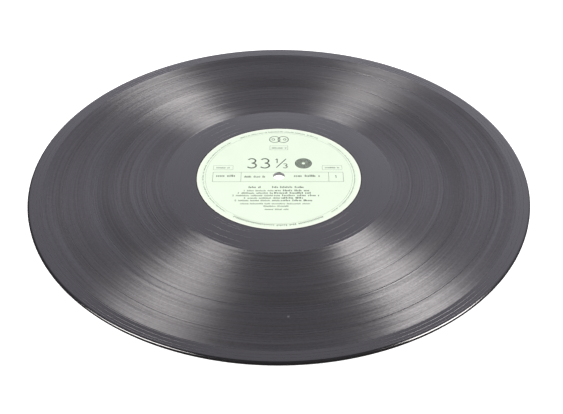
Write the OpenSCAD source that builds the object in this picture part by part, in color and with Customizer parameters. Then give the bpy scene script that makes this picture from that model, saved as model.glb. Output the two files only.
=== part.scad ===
// A 12-inch vinyl record: one pressed disc, thin where the groove runs and thicker
// at its edge and centre, with a paper label let into each side.
// The groove of a side is continuous, from its start on the raised edge, through
// the tracks and the gaps between them, to the closed turn beside the label.
// Its turns within the tracks are drawn few and wide: a real one has hundreds.

/* [Disc] */
// Outside diameter of the disc
disc_d = 301.6; // [250:0.1:370]
// Thickness over the raised edge
edge_t = 2.2; // [1.8:0.05:3]
// Thickness through the raised centre, both labels included
centre_t = 2.2; // [1.8:0.05:3]
// Thickness of the web between them, which carries the groove
web_t = 1.3; // [1:0.05:1.6]

/* [Raised edge] */
// Width of the raised edge, from the outside to the foot of its ramp
rim_w = 7; // [5:0.1:9]
// Width of the ramp from the web to the top of the raised edge
ramp_w = 3.2; // [2:0.1:3.5]
// Width of the rounding at the outside
round_w = 1.4; // [0.5:0.1:1.6]
// Height of the rounding at the outside
round_h = 0.6; // [0.2:0.05:0.7]

/* [Centre] */
// Diameter of the spindle hole
hole_d = 7.24; // [5:0.01:12]
// Diameter of a label
label_d = 100; // [80:0.5:120]
// Thickness of a label
label_t = 0.1; // [0.08:0.01:0.2]
// Clearance round a label in its recess
label_gap = 0.05; // [0.02:0.01:0.2]
// Width of the level land round a label
land_w = 0.6; // [0.3:0.1:0.8]
// Width of the rounded step from that land down to the web
step_w = 0.9; // [0.5:0.1:1.2]

/* [Groove] */
// Width of the groove at its mouth
groove_w = 0.3; // [0.1:0.02:0.4]
// Angle between the groove's two walls
groove_angle = 90; // [70:5:110]
// Distance from the outside of the disc to the start of the groove
start_in = 2.2; // [1.9:0.1:3]
// Distance from the outside of the disc to the first track
first_track_in = 8.7; // [6:0.1:12]
// Playing width of each track, in percent of all of them
track_share = [16, 26, 16, 26, 16]; // [5:1:60]
// Pitch of the groove drawn within the tracks, and before the first
track_pitch = 2.18; // [1.8:0.02:3]
// Pitch of the single turn in the gap between two tracks
gap_pitch = 4; // [2.8:0.1:5]
// Pitch of the groove in the smooth zone after the last track
run_out_pitch = 4.7; // [3:0.1:6]
// Width of that zone, which the last track fills up to
run_out_w = 16.4; // [10:0.1:20]
// Distance from the closed turn, where the groove ends, to the edge of a label
closed_out = 3.2; // [2.6:0.1:6]

/* [Hidden] */
$fn = 180;
vinyl = [0.13, 0.13, 0.14];
paper = [0.93, 1, 0.91];

disc_r = disc_d / 2;
hole_r = hole_d / 2;
label_r = label_d / 2;
middle_z = max(edge_t, centre_t) / 2;

// Radii of the section's corners, from the label outwards
recess_r = label_r + label_gap;
land_r = recess_r + land_w;
closed_r = label_r + closed_out;
ramp_r = disc_r - rim_w;
crown_r = ramp_r + ramp_w;
round_steps = 6;

// The groove's section, and the height of its cutter above the disc
groove_depth = groove_w / 2 / tan(groove_angle / 2);
over = groove_w / 3;

// The groove's course
start_r = disc_r - start_in;
last_track = len(track_share) - 1;
lead_in_turns = max(1, round((first_track_in - start_in) / track_pitch));
playing_w = disc_r - first_track_in - closed_r - run_out_w - last_track * gap_pitch;
tracks_end_r = start_r - turns_before(last_track + 1) * track_pitch - last_track * gap_pitch;
run_out_fall = run_out_pitch / 2;
run_out_halves = max(1, round((tracks_end_r - closed_r) / run_out_fall) - 1);
last_end_r = closed_r + groove_w / 6;
last_fall = tracks_end_r - run_out_halves * run_out_fall - last_end_r;

// Turns at the tracks' pitch before track k ends, those before the first track with them
function turns_before(k) = k == 0 ? 0 : turns_before(k - 1)
    + max(1, round(playing_w * track_share[k - 1] / 100 / track_pitch))
    + (k == 1 ? lead_in_turns : 0);

// Height of the disc above its middle plane at radius r, from the step outwards
function level_at(r) =
    web_t / 2 + (edge_t - web_t) / 2 * min(1, max(0, (r - ramp_r) / ramp_w));

// One V of the groove at radius r, carried up a little above its mouth
function groove_v(r) =
    let (top = groove_w / 2 * (1 + over / groove_depth))
    [[r + top, level_at(r) + over],
     [r, level_at(r) - groove_depth],
     [r - top, level_at(r) + over]];

// Radii of the turns on half 0 or half 1 of a side, about their own centres
function track_radii(half) = [
    for (k = [0:last_track])
        for (turn = [turns_before(k):turns_before(k + 1) - 1])
            start_r - (turn + half / 2 + 1 / 4) * track_pitch - k * gap_pitch];
function gap_radii(half) = [
    for (k = [1:last_track])
        start_r - turns_before(k) * track_pitch - (k - 1 + half / 2 + 1 / 4) * gap_pitch];
function run_out_radii(half) = [
    for (i = [half:2:run_out_halves - 1])
        tracks_end_r - (i + 1 / 2) * run_out_fall];

// Outline of one side above the middle plane, from the hole to the outside
function side_outline() = concat(
    [[hole_r, centre_t / 2 - label_t],
     [recess_r, centre_t / 2 - label_t],
     [recess_r, centre_t / 2]],
    [for (i = [0:round_steps])
        [land_r + step_w * i / round_steps,
         web_t / 2 + (centre_t - web_t) / 4 * (1 + cos(180 * i / round_steps))]],
    [[closed_r - groove_w / 2, web_t / 2],
     [closed_r, web_t / 2 - groove_depth],
     [closed_r + groove_w / 2, web_t / 2],
     [ramp_r, web_t / 2],
     [crown_r, edge_t / 2]],
    [for (i = [0:round_steps])
        [disc_r - round_w * (1 - sin(90 * i / round_steps)),
         edge_t / 2 - round_h * (1 - cos(90 * i / round_steps))]]);

// The half of the blank disc that lies on the +Y side
module blank_half() {
    upper = side_outline();
    lower = [for (i = [len(upper) - 1:-1:0]) [upper[i].x, -upper[i].y]];
    rotate_extrude(angle = 180)
        polygon(concat(upper, lower));
}

// Cutter for turns about one centre, half a fall beside the axis. Half 0 of a side turns
// about a centre on the +X side and half 1 about one as far on the other, so that each
// half turn runs smoothly into the next, and the groove winds inwards.
module turns(side, half, fall, radii) {
    roof = edge_t / 2 + 2 * over;
    teeth = [for (r = radii) each groove_v(r)];
    rotate([180 * side, 0, 0])
        translate([(1 - 2 * half) * fall / 2, 0, 0])
            rotate_extrude()
                polygon(concat(teeth, [[teeth[len(teeth) - 1].x, roof], [teeth[0].x, roof]]));
}

// Cuts one half of one side's groove into the half disc that it is given
module with_groove(side, half) {
    difference() {
        difference() {
            difference() {
                children();
                turns(side, half, track_pitch / 2, track_radii(half));
            }
            turns(side, half, gap_pitch / 2, gap_radii(half));
        }
        turns(side, half, run_out_fall, run_out_radii(half));
        if (run_out_halves % 2 == half)
            turns(side, half, last_fall, [last_end_r + last_fall / 2]);
    }
}

// Side B is side A turned over about the X axis, so its halves lie the other way round
module half_disc(half) {
    with_groove(0, half)
        with_groove(1, 1 - half)
            rotate([0, 0, 180 * half])
                blank_half();
}

module vinyl_disc() {
    color(vinyl)
        translate([0, 0, middle_z]) {
            half_disc(0);
            half_disc(1);
        }
}

module label() {
    color(paper)
        rotate_extrude()
            translate([hole_r, 0])
                square([label_r - hole_r, label_t]);
}

module label_side_a() {
    translate([0, 0, middle_z + centre_t / 2 - label_t])
        label();
}

module label_side_b() {
    translate([0, 0, middle_z - centre_t / 2])
        label();
}

vinyl_disc();
label_side_a();
label_side_b();
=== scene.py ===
"""A 12-inch vinyl record lying on a white studio floor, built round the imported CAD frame.

The disc is one mesh. The groove of each side runs as one line from the raised edge to
the closed turn beside the label. The labels carry generic print only.
Shapes are laid out in millimetres. Meshes, materials and lamps are in metres.
"""

import math
import random

import bmesh
import bpy
from mathutils import Matrix, Vector
from mathutils.geometry import delaunay_2d_cdt


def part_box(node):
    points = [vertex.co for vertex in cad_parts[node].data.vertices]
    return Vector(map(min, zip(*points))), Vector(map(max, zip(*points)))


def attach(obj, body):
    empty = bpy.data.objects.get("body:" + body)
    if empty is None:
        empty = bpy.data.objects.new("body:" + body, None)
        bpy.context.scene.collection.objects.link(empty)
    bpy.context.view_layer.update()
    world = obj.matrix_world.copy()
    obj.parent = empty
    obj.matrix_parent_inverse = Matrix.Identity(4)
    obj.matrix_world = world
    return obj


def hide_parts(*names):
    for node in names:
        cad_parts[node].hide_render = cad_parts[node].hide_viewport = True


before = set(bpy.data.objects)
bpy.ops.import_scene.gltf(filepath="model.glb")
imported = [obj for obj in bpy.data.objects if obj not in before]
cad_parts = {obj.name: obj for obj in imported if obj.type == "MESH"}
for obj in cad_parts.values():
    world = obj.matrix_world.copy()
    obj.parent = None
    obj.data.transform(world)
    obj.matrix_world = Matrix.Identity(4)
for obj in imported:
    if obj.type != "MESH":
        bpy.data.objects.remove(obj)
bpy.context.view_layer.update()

MM = 0.001
TAU = 2 * math.pi

# The disc's section: the CAD model's, with a gentler ramp up to the raised edge and a
# gentler bank up to the label, and a crease round the label
DISC_R = 150.78
MIDDLE_Z = 1.1
EDGE_HALF = 1.1          # half the thickness of the raised edge and centre
WEB_HALF = 0.65          # half the thickness of the web that carries the groove
RAMP_R, CROWN_R = 128.0, 142.5
BANK_R, BANK_TOP_R = 82.0, 53.2
ROUND_W, ROUND_H = 1.4, 0.6
ROUND_STEPS = 16
DULL_STEPS = 5           # the outermost steps of the rounding, which are trimmed and dull
HOLE_R, HOLE_CHAMFER = 3.62, 0.12
LABEL_R, LABEL_T, LABEL_GAP = 50.0, 0.1, 0.05
CREASE_W, CREASE_DEPTH = 0.5, 0.12
SEGMENTS = 240           # round the disc
SHARP_ANGLE = 11         # in degrees, between faces that meet in a hard edge
MERGE_DISTANCE = 2e-6    # in metres

# The groove's course on a side, from the outside inwards, and the V that it is cut with
LEAD_IN_R, LEAD_IN_TURNS = 148.9, 3
TRACK_ENDS = [(142.5, 131.2), (130.1, 112.2), (111.1, 100.8), (99.7, 81.5), (80.4, 69.6)]
TRACK_LINE_PITCH = 2.4   # between the turns that show as lines within a track
TRACK_LINE_SPREAD = (0.45, 1.7)
RUN_OUT_TURNS = 3.5
CLOSED_R = 53.1
LEAD_IN_GROOVE_W, LEAD_IN_GROOVE_DEPTH = 0.2, 0.024
TRACK_GROOVE_W, TRACK_GROOVE_DEPTH = 0.14, 0.04
GAP_GROOVE_WIDTHS, GAP_GROOVE_DEPTH = (0.5, 0.55, 0.75, 0.8), 0.08
RUN_OUT_GROOVE_W, RUN_OUT_GROOVE_DEPTH = 0.1, 0.016
FADE_SEGMENTS = SEGMENTS / 12   # over which a groove starts and ends
SIDE_A_SEED, SIDE_B_SEED = 11, 23

# Indices of the disc's materials and of a label's
SMOOTH, GROOVED, EDGE, GAP = range(4)
PLAIN, INKED = range(2)


# The disc's mesh

def eased(t):
    t = min(1.0, max(0.0, t))
    return t * t * (3 - 2 * t)


def level(r):
    """Height of a side above the disc's middle plane at radius r."""
    rise = max(eased((r - RAMP_R) / (CROWN_R - RAMP_R)),
               eased((BANK_R - r) / (BANK_R - BANK_TOP_R)))
    return WEB_HALF + (EDGE_HALF - WEB_HALF) * rise


def ring_zone(profile, material):
    """A zone that has one profile all the way round.

    A zone is its rows of (angle, [(radius, height), ...]), the material of its strips,
    and that of the first and last of them.
    """
    rows = [(TAU * j / SEGMENTS, profile) for j in range(SEGMENTS + 1)]
    return rows, material, material


def groove_zone(radii, width, depth, material, lands=1, to_closed=False):
    """A zone between one pass of the groove and the next, with a wall of it at each side.

    The groove passes radii[i] after i turns. It leaves the outer circle at radii[0] and
    reaches the inner one at radii[-1], where the closed turn takes it up if to_closed.
    """
    steps = round((len(radii) - 1) * SEGMENTS)

    def course(j):
        turn = min(max(j / SEGMENTS, 0), len(radii) - 1)
        i = min(int(turn), len(radii) - 2)
        return radii[i] + (radii[i + 1] - radii[i]) * (turn - i)

    def bottom(j, r):
        end = 1 if to_closed else eased((steps - j) / FADE_SEGMENTS)
        return r, level(r) - depth * min(eased(j / FADE_SEGMENTS), end)

    rows = []
    for j in range(-SEGMENTS, steps + 1):
        outer, inner = course(j), course(j + SEGMENTS)
        half = min(width, outer - inner) / 2
        land = [outer - half + (inner - outer + 2 * half) * k / lands
                for k in range(lands + 1)]
        rows.append((TAU * j / SEGMENTS,
                     [bottom(j, outer)] + [(r, level(r)) for r in land]
                     + [bottom(j + SEGMENTS, inner)]))
    return rows, material, GROOVED


def even_radii(outer, inner, turns):
    """Radii after each turn of a spiral of even pitch; a part turn comes first."""
    pitch = (outer - inner) / turns
    whole = math.ceil(turns)
    return [outer] + [inner + pitch * (whole - 1 - i) for i in range(whole)]


def uneven_radii(outer, inner, rng):
    """Radii after each turn in a track, wider where the music is louder."""
    turns = max(2, round((outer - inner) / TRACK_LINE_PITCH))
    gaps = [rng.uniform(*TRACK_LINE_SPREAD) for _ in range(turns)]
    scale = (outer - inner) / sum(gaps)
    radii = [outer]
    for gap in gaps:
        radii.append(radii[-1] - gap * scale)
    return radii


def side_zones(seed):
    """The zones of a side, from the outside to the hole."""
    rng = random.Random(seed)
    rounding = [(DISC_R - ROUND_W * (1 - math.cos(a)), EDGE_HALF - ROUND_H * (1 - math.sin(a)))
                for a in (math.pi / 2 * i / ROUND_STEPS for i in range(ROUND_STEPS + 1))]
    lead_in = even_radii(LEAD_IN_R, TRACK_ENDS[0][0], LEAD_IN_TURNS)
    zones = [ring_zone(rounding[:DULL_STEPS + 1], EDGE),
             ring_zone(rounding[DULL_STEPS:] + [(LEAD_IN_R, EDGE_HALF)], SMOOTH),
             groove_zone(lead_in, LEAD_IN_GROOVE_W, LEAD_IN_GROOVE_DEPTH, SMOOTH, lands=3)]
    for k, (outer, inner) in enumerate(TRACK_ENDS):
        radii = uneven_radii(outer, inner, rng)
        zones.append(groove_zone(radii, TRACK_GROOVE_W, TRACK_GROOVE_DEPTH, GROOVED))
        if k + 1 < len(TRACK_ENDS):
            gap = [inner, TRACK_ENDS[k + 1][0]]
            zones.append(groove_zone(gap, GAP_GROOVE_WIDTHS[k], GAP_GROOVE_DEPTH, GAP))
    run_out = even_radii(TRACK_ENDS[-1][1], CLOSED_R, RUN_OUT_TURNS)
    shoulder_r = CLOSED_R - RUN_OUT_GROOVE_W / 2
    recess_r = LABEL_R + LABEL_GAP
    crease_r = recess_r + CREASE_W
    floor = EDGE_HALF - LABEL_T
    return zones + [
        groove_zone(run_out, RUN_OUT_GROOVE_W, RUN_OUT_GROOVE_DEPTH, SMOOTH,
                    lands=3, to_closed=True),
        ring_zone([(CLOSED_R, EDGE_HALF - RUN_OUT_GROOVE_DEPTH),
                   (shoulder_r, EDGE_HALF)], GROOVED),
        ring_zone([(shoulder_r, EDGE_HALF), (crease_r, EDGE_HALF)], SMOOTH),
        ring_zone([(crease_r, EDGE_HALF),
                   (recess_r + CREASE_W / 2, EDGE_HALF - CREASE_DEPTH),
                   (recess_r, EDGE_HALF), (recess_r, floor)], EDGE),
        ring_zone([(recess_r, floor), (HOLE_R + HOLE_CHAMFER, floor),
                   (HOLE_R, floor - HOLE_CHAMFER), (HOLE_R, 0)], SMOOTH)]


def add_zone(bm, zone, turned):
    """Adds a zone's quads; turned lays them out on side B, half a turn about X."""
    rows, material, border_material = zone
    flip = -1 if turned else 1
    lines = [[bm.verts.new((MM * r * math.cos(a), MM * flip * r * math.sin(a),
                            MM * (MIDDLE_Z + flip * h))) for r, h in points]
             for a, points in rows]
    for near, far in zip(lines, lines[1:]):
        last = len(near) - 2
        for k in range(last + 1):
            face = bm.faces.new((near[k], far[k], far[k + 1], near[k + 1]))
            face.material_index = border_material if k in (0, last) else material
            face.smooth = True


def new_object(name, bm, materials):
    mesh = bpy.data.meshes.new(name)
    bm.to_mesh(mesh)
    bm.free()
    for material in materials:
        mesh.materials.append(material)
    piece = bpy.data.objects.new(name, mesh)
    bpy.context.scene.collection.objects.link(piece)
    return piece


def make_disc(materials):
    bm = bmesh.new()
    for turned, seed in ((False, SIDE_A_SEED), (True, SIDE_B_SEED)):
        for zone in side_zones(seed):
            add_zone(bm, zone, turned)
    wall = [(DISC_R, EDGE_HALF - ROUND_H), (DISC_R, 0), (DISC_R, ROUND_H - EDGE_HALF)]
    add_zone(bm, ring_zone(wall, EDGE), False)
    bmesh.ops.remove_doubles(bm, verts=bm.verts, dist=MERGE_DISTANCE)
    bmesh.ops.recalc_face_normals(bm, faces=bm.faces)
    disc = new_object("disc_body", bm, materials)
    disc.data.set_sharp_from_angle(angle=math.radians(SHARP_ANGLE))
    return disc


# The labels and their print, which is placed from the label's centre

LABEL_SEED = 5
LABEL_SEGMENTS, HOLE_SEGMENTS = 240, 48
CUT_TOLERANCE = 1e-4
RULE_R, RULE_SEGMENTS, RULE_W = 44.9, 160, 0.1
# radius, first and last angle in degrees, height and stroke width of print along the rim
RIM_PRINT = [(45.9, 58, 122, 1.1, 0.28), (45.7, 236, 304, 1.3, 0.5),
             (45.9, 132, 228, 0.8, 0.2), (45.9, -48, 48, 0.8, 0.2)]
# two linked rings, the common sign for stereo, each with a small one inside
STEREO_X, STEREO_Y, STEREO_INNER_SHIFT = 2.7, 38.0, 1.35
STEREO_OUTER = (3.3, 40, 0.5)    # radius, segments, stroke width
STEREO_INNER = (0.9, 16, 0.4)
# a box: left, lower, right and upper side, stroke width
BADGE_BOX = (-5.7, 26.8, 5.6, 31.1, 0.16)
ROW_BOX = (-40.3, -5.8, 39.3, 3.7, 0.2)
UPPER_BOXES = [(-40.3, 6.2, -28.3, 10.4, 0.14), (26.8, 6.2, 38.9, 10.4, 0.14)]
ROW_DIVIDERS = (-23.1, 30.4)
# numerals: what they say, their lower left corner, height and stroke width
SPEED = [("33", -19.6, 7.9, 9.6, 0.95), ("1", -2.6, 12.9, 4.4, 0.6), ("3", 2.6, 7.9, 4.4, 0.6)]
SPEED_SLASH, SPEED_SLASH_W = [(-1.6, 8.2), (4.4, 17.2)], 0.6
SIDE_NUMBER = (34.0, -2.1, 2.6, 0.36)
# a plain disc with a hole
DISC_MARK_CENTRE, DISC_MARK_SEGMENTS, DISC_MARK_W = (15.2, 12.6), 48, 0.7
DISC_MARK_RADII = (1.5, 2.35, 3.2, 4.05, 4.9)
# a line of small print: left end, right end, foot, height, stroke width
BADGE_PRINT = [(-4.6, 4.8, 28.2, 1.3, 0.22)]
ROW_PRINT = [(-38.6, -30.0, 7.6, 1.2, 0.2), (28.4, 37.4, 7.6, 1.2, 0.2),
             (-38.2, -26.0, -0.9, 2.0, 0.6), (-21.0, -8.0, -1.7, 1.9, 0.26),
             (9.2, 25.6, -1.0, 2.0, 0.6)]
TITLE_PRINT = [(-18.2, -10.2, -11.9, 1.7, 0.55), (-4.0, 14.8, -11.9, 1.7, 0.55)]
FOOT_PRINT = [(-22.8, 18.8, -27.4, 1.2, 0.2), (-9.0, 5.8, -29.7, 1.2, 0.2),
              (-8.2, 5.8, -32.6, 1.2, 0.2)]
# a numbered line: foot, left end, end of its light words, right end of its bold ones
TRACK_LINES = [(-15.1, -19.0, -3.0, 19.8), (-17.45, -22.4, -3.4, 19.4),
               (-19.8, -25.6, -3.4, 24.4), (-22.15, -18.6, 1.0, 14.8),
               (-24.5, -24.0, 0.6, 21.0)]
TRACK_NUMBER_SHIFT, TRACK_BOLD_SHIFT = -2.2, 0.6
TRACK_NUMBER, TRACK_LIGHT, TRACK_BOLD = (1.35, 0.24), (1.35, 0.26), (1.6, 0.55)
# the strokes of small print: the lengths of words, the steps from stroke to stroke in
# stroke widths, and the heights of strokes and the space after a word as shares of the
# line's height
WORD_LENGTHS = (3.5, 8.5)
STROKE_STEPS = (1.4, 2.0)
STROKE_HEIGHTS = (0.7, 0.7, 1.0)
WORD_SPACE = 0.7
# the same along the rim, and the share of strokes left out there
RIM_STROKE_STEP, RIM_STROKE_HEIGHTS, RIM_MISSING_SHARE = 2.1, (0.7, 1.0), 0.16
NUMERAL_STEP = 0.85      # from one numeral to the next, in heights


def circle(r, n, centre=(0, 0)):
    return [(centre[0] + r * math.cos(TAU * i / n), centre[1] + r * math.sin(TAU * i / n))
            for i in range(n)]


def arc(cx, cy, rx, ry, start, end, n=14):
    return [(cx + rx * math.cos(math.radians(start + (end - start) * i / n)),
             cy + ry * math.sin(math.radians(start + (end - start) * i / n)))
            for i in range(n + 1)]


# Plain numerals as lines in a box 0.6 wide and 1 high
NUMERALS = {
    "1": [[(0.12, 0.78), (0.34, 1.0), (0.34, 0.0)]],
    "2": [arc(0.3, 0.72, 0.27, 0.28, 165, -38) + [(0.02, 0.0), (0.6, 0.0)]],
    "3": [arc(0.28, 0.76, 0.25, 0.24, 150, -90), arc(0.28, 0.26, 0.3, 0.26, 90, -150)],
    "4": [[(0.6, 0.3), (0.0, 0.3), (0.44, 1.0), (0.44, 0.0)]],
    "5": [[(0.55, 1.0), (0.12, 1.0), (0.07, 0.56)] + arc(0.28, 0.33, 0.3, 0.33, 130, -145)],
}


def stroke(points, width, closed=False):
    """Quads of a line of that width through points."""
    if closed:
        points = points + points[:1]
    quads = []
    for (x0, y0), (x1, y1) in zip(points, points[1:]):
        length = math.hypot(x1 - x0, y1 - y0)
        nx, ny = -(y1 - y0) / length * width / 2, (x1 - x0) / length * width / 2
        quads.append([(x0 + nx, y0 + ny), (x0 - nx, y0 - ny),
                      (x1 - nx, y1 - ny), (x1 + nx, y1 + ny)])
    return quads


def ring(centre, r, n, width):
    return stroke(circle(r, n, centre), width, closed=True)


def box(x0, y0, x1, y1, width):
    return stroke([(x0, y0), (x1, y0), (x1, y1), (x0, y1)], width, closed=True)


def numeral(text, x, y, height, width):
    """Quads of plain numerals whose lower left corner is at x, y."""
    quads = []
    for i, mark in enumerate(text):
        for line in NUMERALS[mark]:
            points = [(x + height * (px + NUMERAL_STEP * i), y + height * py)
                      for px, py in line]
            quads += stroke(points, width)
    return quads


def bars(x0, x1, y, height, width, rng):
    """Upright strokes in words, in place of a line of small print."""
    quads = []
    x = x0
    while x < x1 - width:
        word_end = min(x1, x + rng.uniform(*WORD_LENGTHS))
        while x < word_end - width:
            top = height * rng.choice(STROKE_HEIGHTS)
            quads.append([(x, y), (x + width, y), (x + width, y + top), (x, y + top)])
            x += width * rng.uniform(*STROKE_STEPS)
        x += height * WORD_SPACE
    return quads


def rim_bars(r, start, end, height, width, rng):
    """The same strokes along the label's rim, between two angles in degrees."""
    quads = []
    a = start
    while a < end:
        if rng.random() > RIM_MISSING_SHARE:
            top = height * rng.choice(RIM_STROKE_HEIGHTS)
            c, s = math.cos(math.radians(a)), math.sin(math.radians(a))
            quads += stroke([(r * c, r * s), ((r + top) * c, (r + top) * s)], width)
        a += math.degrees(width * RIM_STROKE_STEP / r)
    return quads


def small_print(lines, rng):
    return [quad for line in lines for quad in bars(*line, rng)]


def label_print(side_mark, rng):
    """Outlines of a label's ink. Their order, and that of the draws, sets the mesh."""
    ink = ring((0, 0), RULE_R, RULE_SEGMENTS, RULE_W)
    for line in RIM_PRINT:
        ink += rim_bars(*line, rng)
    for x in (-STEREO_X, STEREO_X):
        ink += ring((x, STEREO_Y), *STEREO_OUTER)
        ink += ring((x * STEREO_INNER_SHIFT, STEREO_Y), *STEREO_INNER)
    ink += box(*BADGE_BOX) + small_print(BADGE_PRINT, rng)
    for text, x, y, height, width in SPEED:
        ink += numeral(text, x, y, height, width)
    ink += stroke(SPEED_SLASH, SPEED_SLASH_W)
    for r in DISC_MARK_RADII:
        ink += ring(DISC_MARK_CENTRE, r, DISC_MARK_SEGMENTS, DISC_MARK_W)
    ink += box(*ROW_BOX)
    for x in ROW_DIVIDERS:
        ink += stroke([(x, ROW_BOX[1]), (x, ROW_BOX[3])], ROW_BOX[4])
    for corners in UPPER_BOXES:
        ink += box(*corners)
    ink += small_print(ROW_PRINT, rng) + numeral(side_mark, *SIDE_NUMBER)
    ink += small_print(TITLE_PRINT, rng)
    for i, (y, start, middle, end) in enumerate(TRACK_LINES):
        ink += numeral(str(i + 1), start + TRACK_NUMBER_SHIFT, y, *TRACK_NUMBER)
        ink += bars(start, middle, y, *TRACK_LIGHT, rng)
        ink += bars(middle + TRACK_BOLD_SHIFT, end, y, *TRACK_BOLD, rng)
    return ink + small_print(FOOT_PRINT, rng)


def make_label(name, node, side_mark, turned, materials):
    """A closed paper washer whose printed face is cut along the edges of its print."""
    low, high = (z / MM for z in (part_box(node)[0].z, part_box(node)[1].z))
    printed_z, back_z = (low, high) if turned else (high, low)
    flip = -1 if turned else 1
    shapes = [circle(LABEL_R, LABEL_SEGMENTS), circle(HOLE_R, HOLE_SEGMENTS)]
    hole = len(shapes) - 1
    shapes += label_print(side_mark, random.Random(LABEL_SEED))
    points, polygons = [], []
    for shape in shapes:
        polygons.append(list(range(len(points), len(points) + len(shape))))
        points += [Vector(p) for p in shape]
    flat, _, faces, _, _, sources = delaunay_2d_cdt(points, [], polygons, 0, CUT_TOLERANCE)

    bm = bmesh.new()
    front = [bm.verts.new((MM * p.x, MM * flip * p.y, MM * printed_z)) for p in flat]
    for corners, source in zip(faces, sources):
        if hole in source:
            continue
        face = bm.faces.new([front[i] for i in corners])
        face.material_index = INKED if any(s > hole for s in source) else PLAIN
    bmesh.ops.delete(bm, geom=[v for v in bm.verts if not v.link_faces], context="VERTS")

    rims = [e for e in bm.edges if len(e.link_faces) == 1]
    walls = bmesh.ops.extrude_edge_only(bm, edges=rims)["geom"]
    for part in walls:
        if isinstance(part, bmesh.types.BMVert):
            part.co.z = MM * back_z
    edges = [part for part in walls if isinstance(part, bmesh.types.BMEdge)]
    half_r = MM * LABEL_R / 2
    outer = [e for e in edges if e.verts[0].co.xy.length > half_r]
    inner = [e for e in edges if e.verts[0].co.xy.length < half_r]
    bmesh.ops.triangle_fill(bm, edges=outer + inner, use_beauty=True)
    bmesh.ops.recalc_face_normals(bm, faces=bm.faces)
    return new_object(name, bm, materials)


# Materials

VINYL = (0.010, 0.010, 0.012, 1)
VINYL_WARM = (0.018, 0.016, 0.016, 1)
DUST = (0.45, 0.45, 0.47, 1)
# specks of dust lie in some cells of a grid of so many to the metre; each fades out
# between two distances, in cells
SPECK_CELLS, SPECK_CHOSEN_ABOVE, SPECK_FADE = 26.0, 0.86, (0.008, 0.014)
# the one speck that the photograph shows, in metres
LONE_SPECK, LONE_FADE, LONE_STRENGTH = (0.0051, -0.1184, 0.00175), (0.0003, 0.0009), 0.22
PAPER = (0.785, 0.925, 0.765, 1)
PAPER_DEEP = (0.765, 0.91, 0.745, 1)
PAPER_MARGIN = (0.85, 0.93, 0.82, 1)
MARGIN_INNER_R, MARGIN_OUTER_R, MARGIN_SHARE = 0.0475, 0.0492, 0.9
INK = (0.03, 0.04, 0.03, 1)
INK_WORN = (0.07, 0.09, 0.07, 1)
SMOOTH_IOR, GAP_IOR, GROOVED_IOR, EDGE_IOR = 2.2, 1.8, 2.4, 1.5
# roughness, from the least to the most where it varies, and specular levels
SMOOTH_ROUGHNESS, EDGE_ROUGHNESS, PAPER_ROUGHNESS = (0.10, 0.16), (0.55, 0.75), (0.5, 0.62)
INK_ROUGHNESS, DUST_EXTRA_ROUGHNESS = 0.5, 0.5
EDGE_GLOSS, LABEL_GLOSS = 0.05, 0.35
# scales of noise to the metre, and the two values between which most of a noise lies
MOTTLE_SCALE, GRAIN_SCALE, MARKS_SCALE = 60.0, 700.0, 900.0
FIBRE_SCALE, CLOUD_SCALE, WEAR_SCALE = 900.0, 70.0, 1500.0
NOISE_SPAN, FIBRE_SPAN, WEAR_SPAN = (0.3, 0.7), (0.25, 0.75), (0.4, 0.75)
MOTTLE_SHARE = 0.6           # of the warm vinyl where the mottle is strongest
FIBRE_SHADE = (0.96, 1.0)
# how the groove looks by radius: its roughness, its gloss and the shine of its lands
TRACK_SPAN = (0.06, 0.15)   # radii at 0 and at 1
TRACK_ROUGHNESS = [(0.0, 0.47), (0.22, 0.48), (0.43, 0.47), (0.46, 0.54), (0.56, 0.54),
                   (0.58, 0.46), (0.77, 0.455), (0.79, 0.445), (1.0, 0.44)]
TRACK_GLOSS = [(0.0, 0.54), (0.43, 0.54), (0.46, 0.62), (0.56, 0.62), (0.58, 0.52),
               (0.77, 0.51), (0.79, 0.49), (1.0, 0.48)]
TRACK_FILM = [(0.0, 0.5), (0.43, 0.45), (0.46, 0.2), (0.56, 0.2), (0.58, 0.35), (1.0, 0.3)]
# one value for the gloss and the shine of all tracks, and the roughness of that shine
PLAIN_GLOSS, PLAIN_FILM, FILM_ROUGHNESS = 0.5, 0.35, 0.1
# noise that runs in rings: what the radius, x and y are multiplied by, its scales after
# that, and the two values between which most of each lies
RING_SCALE = (1000.0, 9.0, 9.0)
BROAD_STREAKS, FINE_STREAKS, LOUD_RINGS, SWING_RINGS = 0.33, 1.7, 1.0, 0.9
STREAK_SPAN, LOUD_SPAN, SWING_SPAN = (0.40, 0.60), (0.38, 0.62), (0.35, 0.65)
SWING_ASIDE = (500, 0, 0)    # away from the other noises
LOUD_SHARE, GRAIN_SHARE = 0.7, 0.3
# how far the noises change the roughness and the gloss, up and down
STREAK_ROUGHNESS, GRAIN_ROUGHNESS, LOUD_GLOSS = 0.06, 0.02, 0.13
ACROSS_THE_GROOVE, GROOVE_SWING = 0.25, 0.006   # anisotropic rotation, in turns


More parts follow.
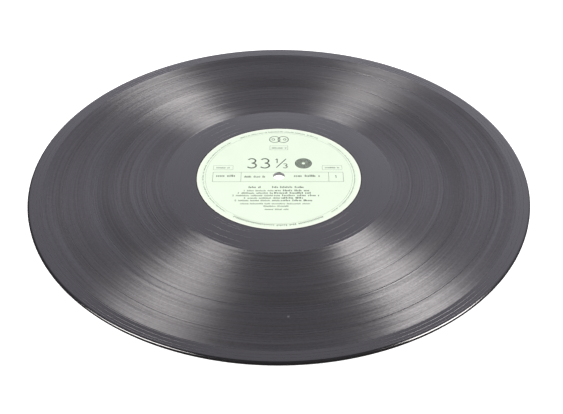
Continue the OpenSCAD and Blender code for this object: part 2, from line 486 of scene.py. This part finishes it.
class Graph:
    """Short calls for building the node tree of a material or world."""

    def __init__(self, owner):
        owner.use_nodes = True
        self.tree = owner.node_tree
        self.tree.nodes.clear()

    def fill(self, node, inputs):
        """Links each input whose value is another node's output, and sets the others."""
        for key, value in inputs.items():
            if isinstance(value, bpy.types.NodeSocket):
                self.tree.links.new(value, node.inputs[key])
            else:
                node.inputs[key].default_value = value

    def node(self, kind, inputs=None, **settings):
        node = self.tree.nodes.new(kind)
        for key, value in settings.items():
            setattr(node, key, value)
        self.fill(node, inputs or {})
        return node

    def math(self, operation, a, b=0.0, c=0.0, clamp=False):
        return self.node("ShaderNodeMath", {0: a, 1: b, 2: c},
                         operation=operation, use_clamp=clamp).outputs[0]

    def vector(self, operation, a, b=(0, 0, 0)):
        return self.node("ShaderNodeVectorMath", {0: a, 1: b}, operation=operation).outputs

    def spread(self, value, low, high, to_low=0.0, to_high=1.0):
        """value taken from low..high to to_low..to_high, and held at the ends."""
        return self.node("ShaderNodeMapRange",
                         {0: value, 1: low, 2: high, 3: to_low, 4: to_high}).outputs[0]

    def noise(self, vector, scale, detail=2.0, roughness=0.5):
        return self.node("ShaderNodeTexNoise",
                         {"Vector": vector, "Scale": scale, "Detail": detail,
                          "Roughness": roughness}).outputs[0]

    def ramp(self, value, stops):
        """A value that runs straight from one (position, value) stop to the next."""
        node = self.node("ShaderNodeValToRGB", {0: value})
        elements = node.color_ramp.elements
        for i, (position, shade) in enumerate(stops):
            stop = elements[i] if i < 2 else elements.new(position)
            stop.position, stop.color = position, (shade, shade, shade, 1)
        return node.outputs[0]

    def mix(self, factor, a, b):
        return self.node("ShaderNodeMix", {"Factor": factor, "A": a, "B": b},
                         data_type="RGBA").outputs["Result"]

    def position(self):
        """The point on the record, in metres."""
        return self.node("ShaderNodeTexCoord").outputs["Object"]

    def radius(self, position):
        """A point's distance from the axis, in metres."""
        flat = self.vector("MULTIPLY", position, (1, 1, 0))["Vector"]
        return self.vector("LENGTH", flat)["Value"]


def new_material(name):
    material = bpy.data.materials.new(name)
    graph = Graph(material)
    shader = graph.node("ShaderNodeBsdfPrincipled")
    graph.node("ShaderNodeOutputMaterial", {"Surface": shader.outputs[0]})
    return material, graph, shader


def dust(graph, position):
    """1 on a few specks of dust and 0 elsewhere."""
    cells = graph.node("ShaderNodeTexVoronoi", {"Vector": position, "Scale": SPECK_CELLS,
                                                "Randomness": 1.0})
    near = graph.spread(cells.outputs["Distance"], *SPECK_FADE, 1.0, 0.0)
    chosen = graph.math("GREATER_THAN", cells.outputs["Color"], SPECK_CHOSEN_ABOVE)
    from_lone = graph.vector("DISTANCE", position, LONE_SPECK)["Value"]
    lone = graph.spread(from_lone, *LONE_FADE, LONE_STRENGTH, 0.0)
    return graph.math("MAXIMUM", graph.math("MULTIPLY", near, chosen), lone)


def vinyl_smooth(name, ior):
    """Vinyl as the polished press leaves it, slightly mottled."""
    material, graph, shader = new_material(name)
    position = graph.position()
    mottle = graph.noise(position, MOTTLE_SCALE, 4.0)
    speck = dust(graph, position)
    colour = graph.mix(graph.math("MULTIPLY", mottle, MOTTLE_SHARE), VINYL, VINYL_WARM)
    haze = graph.spread(mottle, *NOISE_SPAN, *SMOOTH_ROUGHNESS)
    graph.fill(shader, {
        "Base Color": graph.mix(speck, colour, DUST),
        "Roughness": graph.math("MULTIPLY_ADD", speck, DUST_EXTRA_ROUGHNESS, haze),
        "IOR": ior})
    return material


def vinyl_grooved():
    """Vinyl whose grooves, too fine for the mesh, draw each lamp out across them."""
    material, graph, shader = new_material("vinyl_grooved")
    position = graph.position()
    radius = graph.radius(position)
    x, y, _ = graph.node("ShaderNodeSeparateXYZ", {0: position}).outputs
    # quick to change with the radius, slow to change round the disc
    rings = graph.node("ShaderNodeCombineXYZ", {
        i: graph.math("MULTIPLY", part, scale)
        for i, (part, scale) in enumerate(zip((radius, x, y), RING_SCALE))}).outputs[0]
    broad = graph.noise(rings, BROAD_STREAKS)
    fine = graph.noise(rings, FINE_STREAKS)
    streak = graph.math("MULTIPLY_ADD", fine, 0.5, graph.math("MULTIPLY", broad, 0.5))
    grain = graph.noise(position, GRAIN_SCALE)
    loud = graph.math("MULTIPLY_ADD", graph.noise(rings, LOUD_RINGS, 4.0, 0.65), LOUD_SHARE,
                      graph.math("MULTIPLY", grain, GRAIN_SHARE))
    louder = graph.spread(loud, *LOUD_SPAN, -LOUD_GLOSS, LOUD_GLOSS)
    across = graph.spread(radius, *TRACK_SPAN)
    uneven = graph.math(
        "ADD", graph.spread(streak, *STREAK_SPAN, -STREAK_ROUGHNESS, STREAK_ROUGHNESS),
        graph.spread(grain, *NOISE_SPAN, -GRAIN_ROUGHNESS, GRAIN_ROUGHNESS))
    # painted reflection: the vinyl's colour is a little lighter along the same rings as the
    # roughness streaks, standing in for streaks in the lamps' reflection off the grooves
    colour = graph.mix(graph.spread(streak, *STREAK_SPAN), VINYL, VINYL_WARM)
    # the groove swings from side to side, so the lamps' streaks have uneven ends
    aside = graph.vector("ADD", rings, SWING_ASIDE)["Vector"]
    swing = graph.spread(graph.noise(aside, SWING_RINGS, 3.0, 0.6), *SWING_SPAN,
                         ACROSS_THE_GROOVE - GROOVE_SWING, ACROSS_THE_GROOVE + GROOVE_SWING)
    round_z = graph.node("ShaderNodeTangent", direction_type="RADIAL", axis="Z")
    # plain values first, for an export that drops the links of some of these inputs
    graph.fill(shader, {"IOR": GROOVED_IOR, "Anisotropic": 1.0,
                        "Anisotropic Rotation": ACROSS_THE_GROOVE,
                        "Specular IOR Level": PLAIN_GLOSS, "Coat Weight": PLAIN_FILM,
                        "Coat Roughness": FILM_ROUGHNESS})
    graph.fill(shader, {
        "Base Color": graph.mix(dust(graph, position), colour, DUST),
        "Roughness": graph.math("ADD", graph.ramp(across, TRACK_ROUGHNESS), uneven),
        "Specular IOR Level": graph.math("ADD", graph.ramp(across, TRACK_GLOSS), louder),
        "Coat Weight": graph.ramp(across, TRACK_FILM),
        "Anisotropic Rotation": swing,
        "Tangent": round_z.outputs[0]})
    return material


def vinyl_edge():
    """Vinyl where the flash was trimmed off, dull and marked along the edge."""
    material, graph, shader = new_material("vinyl_edge")
    stretched = graph.vector("MULTIPLY", graph.position(), (1, 1, 6))["Vector"]
    marks = graph.noise(stretched, MARKS_SCALE, 3.0)
    graph.fill(shader, {
        "Base Color": graph.mix(marks, VINYL, VINYL_WARM),
        "Roughness": graph.spread(marks, *NOISE_SPAN, *EDGE_ROUGHNESS),
        "IOR": EDGE_IOR, "Specular IOR Level": EDGE_GLOSS})
    return material


def label_paper():
    """Uncoated paper, pale green and a little paler near its rim."""
    material, graph, shader = new_material("label_paper")
    position = graph.position()
    fibre = graph.noise(position, FIBRE_SCALE, 4.0, 0.7)
    cloud = graph.noise(position, CLOUD_SCALE, 3.0)
    margin = graph.spread(graph.radius(position), MARGIN_INNER_R, MARGIN_OUTER_R,
                          0.0, MARGIN_SHARE)
    tint = graph.mix(graph.spread(cloud, *NOISE_SPAN), PAPER, PAPER_DEEP)
    tint = graph.mix(margin, tint, PAPER_MARGIN)
    shade = graph.spread(fibre, *FIBRE_SPAN, *FIBRE_SHADE)
    shaded = graph.node("ShaderNodeVectorMath", {0: tint, 3: shade}, operation="SCALE")
    bump = graph.node("ShaderNodeBump", {"Height": fibre, "Strength": 0.15,
                                         "Distance": 0.0001})
    graph.fill(shader, {
        "Base Color": shaded.outputs[0],
        "Roughness": graph.spread(fibre, *NOISE_SPAN, *PAPER_ROUGHNESS),
        "Normal": bump.outputs[0],
        "Specular IOR Level": LABEL_GLOSS})
    return material


def label_ink():
    """Dark green ink, worn in fine spots."""
    material, graph, shader = new_material("label_ink")
    wear = graph.noise(graph.position(), WEAR_SCALE, 3.0, 0.6)
    graph.fill(shader, {
        "Base Color": graph.mix(graph.spread(wear, *WEAR_SPAN), INK, INK_WORN),
        "Roughness": INK_ROUGHNESS, "Specular IOR Level": LABEL_GLOSS})
    return material


disc = make_disc([vinyl_smooth("vinyl_smooth", SMOOTH_IOR), vinyl_grooved(), vinyl_edge(),
                  vinyl_smooth("vinyl_gap", GAP_IOR)])
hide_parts("vinyl_disc")
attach(disc, "root")
label_materials = [label_paper(), label_ink()]
for name, node, mark, turned in (("paper_side_a", "label_side_a", "1", False),
                                 ("paper_side_b", "label_side_b", "2", True)):
    label = make_label(name, node, mark, turned, label_materials)
    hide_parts(node)
    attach(label, "root")


# Stage, lamps, camera

FLOOR_HALF = 12.0
FLOOR_GREY = (0.8, 0.8, 0.8, 1)
FLOOR_LIFT = 0.85
FILL = 0.11
STUDIO_DARK = 0.06
BACKDROP_TINT = (0.97, 0.945, 1.085, 1)
# brightness of the backdrop in gloss, by the sine of the height and from left to right
BACKDROP_BY_HEIGHT = [(0.0, 1.35), (0.42, 1.14), (0.50, 0.86), (0.57, 0.73), (0.656, 0.60),
                      (0.75, 0.51), (0.82, 0.08), (0.9, 0.0)]
BACKDROP_BY_SIDE = [(0.0, 0.0), (0.16, 0.02), (0.26, 0.12), (0.34, 0.64), (0.38, 0.90),
                    (0.45, 0.94), (0.64, 1.16), (0.76, 0.5), (0.86, 0.1), (1.0, 0.0)]
BACKDROP_START = (-0.1, 0.25)   # the share of +Y in a direction, where it sets in and is full
LAMP_TINT = (1.0, 0.955, 0.955)
LAMP_ELEVATION = 50.0
# the photograph's camera, fitted to the outline of the record and its label; its lens,
# sensor and position are in millimetres, and its angles in degrees
CAMERA_LENS, SENSOR_WIDTH = 62.80, 36.0
CAMERA_PITCH, CAMERA_ROLL = 39.569, -0.033
CAMERA_POSITION = (1.6, -474.5, 369.6)


def make_floor():
    """A white floor that is lifted for the camera and for gloss, and keeps its shadows."""
    material = bpy.data.materials.new("floor_white")
    graph = Graph(material)
    path = graph.node("ShaderNodeLightPath").outputs
    seen = graph.math("ADD", path["Is Camera Ray"], path["Is Glossy Ray"])
    seen = graph.math("ADD", seen, path["Is Transmission Ray"], clamp=True)
    diffuse = graph.node("ShaderNodeBsdfDiffuse", {"Color": FLOOR_GREY})
    lift = graph.node("ShaderNodeEmission",
                      {"Strength": graph.math("MULTIPLY", seen, FLOOR_LIFT)})
    both = graph.node("ShaderNodeAddShader", {0: diffuse.outputs[0], 1: lift.outputs[0]})
    graph.node("ShaderNodeOutputMaterial", {"Surface": both.outputs[0]})
    bm = bmesh.new()
    bmesh.ops.create_grid(bm, x_segments=1, y_segments=1, size=FLOOR_HALF)
    floor = new_object("floor", bm, [material])


def make_world():
    """White for the camera, a graded backdrop in gloss, and a weak fill as light."""
    world = bpy.data.worlds.new("studio")
    graph = Graph(world)
    path = graph.node("ShaderNodeLightPath").outputs
    x, y, z = graph.node("ShaderNodeSeparateXYZ", {
        0: graph.node("ShaderNodeTexCoord").outputs["Generated"]}).outputs
    height = graph.ramp(z, BACKDROP_BY_HEIGHT)
    side = graph.ramp(graph.spread(x, -1.0, 1.0), BACKDROP_BY_SIDE)
    front = graph.spread(y, *BACKDROP_START)
    wall = graph.math("MULTIPLY", graph.math("MULTIPLY", height, side), front)
    backdrop = graph.math("MAXIMUM", wall, STUDIO_DARK)
    shown = graph.math("MAXIMUM", path["Is Camera Ray"], path["Is Transmission Ray"])
    seen = graph.math("MAXIMUM", shown, graph.math("MULTIPLY", path["Is Glossy Ray"], backdrop))
    as_light = graph.math("SUBTRACT", 1.0, graph.math("MAXIMUM", shown, path["Is Glossy Ray"]))
    background = graph.node("ShaderNodeBackground", {
        "Color": graph.mix(path["Is Glossy Ray"], (1, 1, 1, 1), BACKDROP_TINT),
        "Strength": graph.math("MULTIPLY_ADD", as_light, FILL, seen)})
    graph.node("ShaderNodeOutputWorld", {"Surface": background.outputs[0]})
    bpy.context.scene.world = world


def place(name, data, position, right, up, back, roll):
    """Puts a lamp or camera at a position, looking away from back and rolled about it."""
    x_axis = right * math.cos(roll) + up * math.sin(roll)
    y_axis = up * math.cos(roll) - right * math.sin(roll)
    thing = bpy.data.objects.new(name, data)
    thing.matrix_world = Matrix.Translation(position) @ Matrix(
        (x_axis, y_axis, back)).transposed().to_4x4()
    bpy.context.scene.collection.objects.link(thing)
    return thing


def add_softbox(name, azimuth, distance, half_width, half_height, roll, radiance):
    """A rectangular lamp that faces the record's centre; metres and degrees."""
    azimuth, elevation = math.radians(azimuth), math.radians(LAMP_ELEVATION)
    away = Vector((math.cos(elevation) * math.cos(azimuth),
                   math.cos(elevation) * math.sin(azimuth), math.sin(elevation)))
    right = (-away).cross(Vector((0, 0, 1))).normalized()
    up = right.cross(-away)
    lamp = bpy.data.lights.new(name, "AREA")
    lamp.shape = "RECTANGLE"
    lamp.size, lamp.size_y = 2 * half_width, 2 * half_height
    lamp.color = LAMP_TINT
    lamp.energy = radiance * math.pi * lamp.size * lamp.size_y
    softbox = place(name, lamp, away * distance, right, up, away, math.radians(roll))
    softbox.visible_camera = False


def add_camera():
    """The photograph's camera: it looks along +Y and down, with a slight roll."""
    data = bpy.data.cameras.new("camera")
    data.sensor_fit, data.sensor_width, data.lens = "HORIZONTAL", SENSOR_WIDTH, CAMERA_LENS
    pitch = math.radians(CAMERA_PITCH)
    up = Vector((0, math.sin(pitch), math.cos(pitch)))
    back = Vector((0, -math.cos(pitch), math.sin(pitch)))
    bpy.context.scene.camera = place("camera", data, Vector(CAMERA_POSITION) * MM,
                                     Vector((1, 0, 0)), up, back, math.radians(CAMERA_ROLL))


make_floor()
make_world()
add_softbox("softbox_left", azimuth=199.0, distance=1.026, half_width=0.19,
            half_height=0.29, roll=-7.7, radiance=10.1)
add_softbox("softbox_right", azimuth=-5.3, distance=1.549, half_width=0.54,
            half_height=0.28, roll=36.9, radiance=10.5)
add_camera()
bpy.context.scene.view_settings.view_transform = "Standard"
